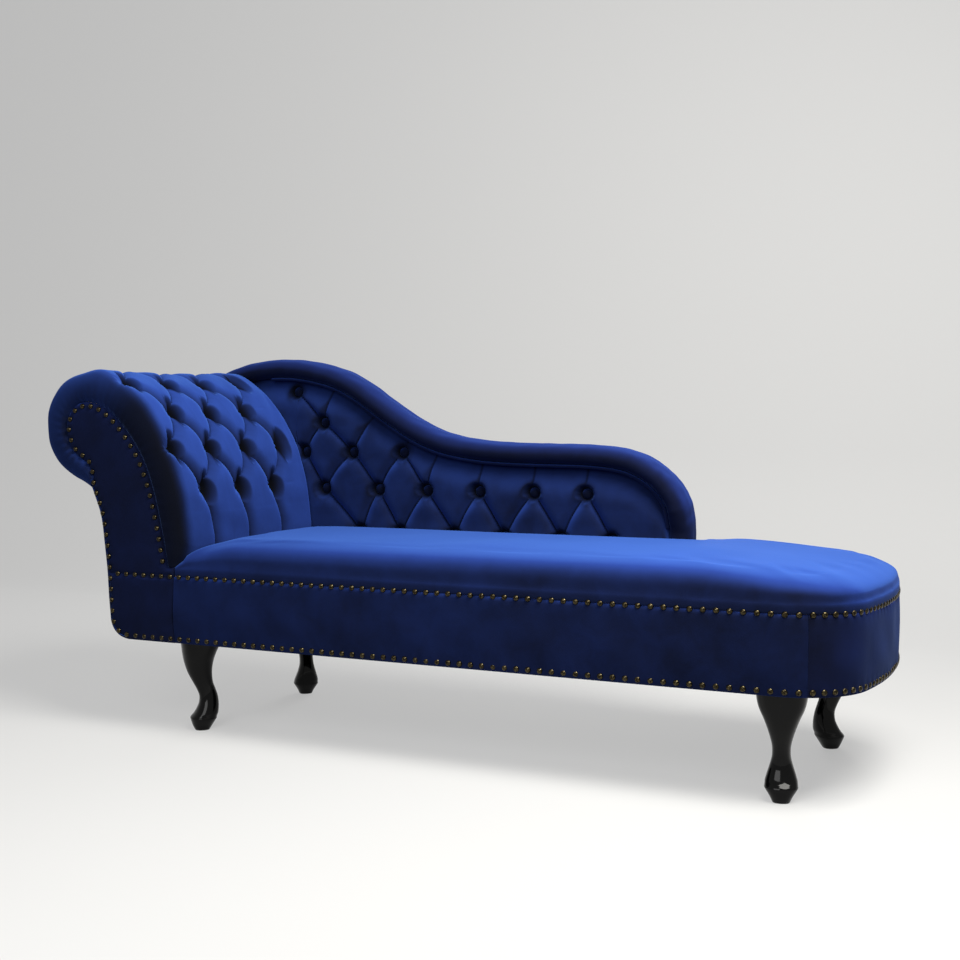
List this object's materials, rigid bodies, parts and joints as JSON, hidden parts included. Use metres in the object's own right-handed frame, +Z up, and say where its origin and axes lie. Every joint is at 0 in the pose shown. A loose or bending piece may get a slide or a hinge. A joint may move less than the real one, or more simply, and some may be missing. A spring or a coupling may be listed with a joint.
{
  "type": "chaise longue",
  "caption": "Upholstered chaise longue with a scrolled, deep-buttoned head, a tufted back that sweeps down along the rear side, a rounded foot end and cabriole legs.",
  "frame": {"origin": "on the floor below the middle of the whole piece's box", "axes": "+X along the seat towards the rounded foot end, with the scrolled head at -X; +Y towards the tufted back, with the open nail-trimmed front at -Y; +Z up"},
  "size_m": [1.6652, 0.548, 0.7718],
  "materials": {
    "velvet": "matte",
    "black_lacquer": "gloss",
    "beech": "matte",
    "plywood": "matte",
    "foam": "matte",
    "webbing": "matte",
    "cambric": "matte",
    "steel": "satin"
  },
  "bodies": {
    "root": {"back_board": "plywood", "back_bottom_rail": "beech", "back_cover": "velvet", "back_foam": "foam", "back_head_post": "beech", "back_middle_post": "beech", "back_outside_cover": "velvet", "back_roll_cover": "velvet", "back_roll_filling": "foam", "back_top_rail": "beech", "back_welt": "velvet", "cross_strap_1": "webbing", "cross_strap_2": "webbing", "cross_strap_3": "webbing", "cross_strap_4": "webbing", "cross_strap_5": "webbing", "cross_strap_6": "webbing", "cross_strap_7": "webbing", "dust_cover": "cambric", "foot_cross_rail": "beech", "foot_rail": "plywood", "front_rail": "beech", "head_board": "plywood", "head_cover": "velvet", "head_cross_rail": "beech", "head_foam": "foam", "head_front_facing": "velvet", "head_front_panel": "plywood", "head_lower_panel": "velvet", "head_lower_stretcher": "beech", "head_middle_stretcher": "beech", "head_outside_cover": "velvet", "head_rail": "beech", "head_rear_lower_panel": "velvet", "head_rear_panel": "plywood", "head_throat_stretcher": "beech", "head_top_stretcher": "beech", "leg_block_front_foot": "beech", "leg_block_front_head": "beech", "leg_block_rear_foot": "beech", "leg_block_rear_head": "beech", "leg_bolt_front_foot": "steel", "leg_bolt_front_head": "steel", "leg_bolt_rear_foot": "steel", "leg_bolt_rear_head": "steel", "leg_front_foot": "black_lacquer", "leg_front_head": "black_lacquer", "leg_rear_foot": "black_lacquer", "leg_rear_head": "black_lacquer", "long_strap_1": "webbing", "long_strap_2": "webbing", "middle_cross_rail": "beech", "rear_rail": "beech", "seat_burlap": "webbing", "seat_cover": "velvet", "seat_foam": "foam", "seat_foot_band": "velvet", "seat_front_band": "velvet", "seat_rear_band": "velvet"}
  },
  "joints": []
}
